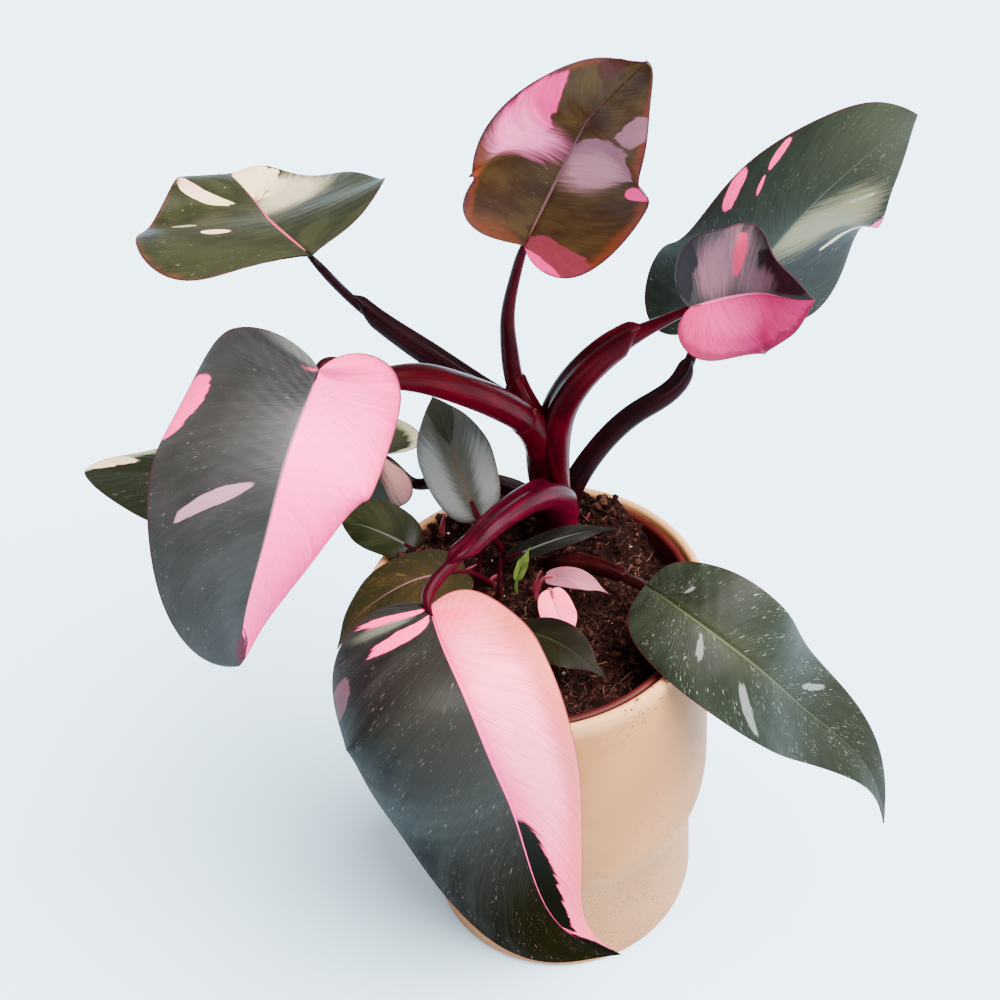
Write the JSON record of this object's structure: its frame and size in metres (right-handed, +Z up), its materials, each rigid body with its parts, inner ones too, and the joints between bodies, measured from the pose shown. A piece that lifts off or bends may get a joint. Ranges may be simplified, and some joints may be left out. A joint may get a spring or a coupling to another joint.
{
  "type": "pink princess philodendron",
  "caption": "Potted aroid house plant with large dark green and pink variegated leaves on crimson stalks, in a nursery pot inside a beige cover pot, resting on its flat base.",
  "frame": {"origin": "centre of the cover pot's underside", "axes": "+Z up along the pot's axis, -Y towards the side with the largest leaf, +X to its right"},
  "size_m": [0.3384, 0.2443, 0.3893],
  "materials": {
    "cover_pot": "matte beige with fine dark brown speckles",
    "nursery_pot": "terracotta red, satin",
    "soil": "dark fibrous potting soil with light fibres and white grains",
    "main_stem": "glossy deep crimson with darker sheaths",
    "low_stem": "satin dark red",
    "blade_front": "satin leaf, one half near black green, the other pink",
    "blade_left": "satin leaf, dark grey green half and pale pink half",
    "blade_upper_left": "olive green leaf with cream sectors",
    "blade_top": "glossy bronze leaf with hot pink sectors",
    "blade_right_pink": "satin bright pink half, dark mauve half",
    "blade_far_right": "grey green leaf with pale streaks and pink patches",
    "blade_back_left": "dark olive leaf with a cream edge",
    "blade_low_right": "dark grey green leaf with white dashes",
    "shoot_grey": "silver grey young leaf",
    "shoot_dark": "dark olive young leaf",
    "shoot_olive": "olive brown young leaf with golden speckle",
    "shoot_narrow": "narrow dark grey green young leaf",
    "shoot_mauve": "pale mauve pink young leaf",
    "shoot_oval": "pale pink oval young leaf",
    "shoot_bronze": "dark bronze young leaf",
    "shoot_bright": "bright olive green sprout"
  },
  "bodies": {
    "root": {"cover_pot": "cover_pot", "nursery_pot": "nursery_pot", "soil": "soil", "main_stem": "main_stem", "low_stem": "low_stem", "blade_front": "blade_front", "blade_left": "blade_left", "blade_upper_left": "blade_upper_left", "blade_top": "blade_top", "blade_right_pink": "blade_right_pink", "blade_far_right": "blade_far_right", "blade_back_left": "blade_back_left", "blade_low_right": "blade_low_right", "shoot_grey": "shoot_grey", "shoot_dark": "shoot_dark", "shoot_olive": "shoot_olive", "shoot_narrow": "shoot_narrow", "shoot_mauve": "shoot_mauve", "shoot_oval": "shoot_oval", "shoot_bronze": "shoot_bronze", "shoot_bright": "shoot_bright"}
  },
  "joints": []
}
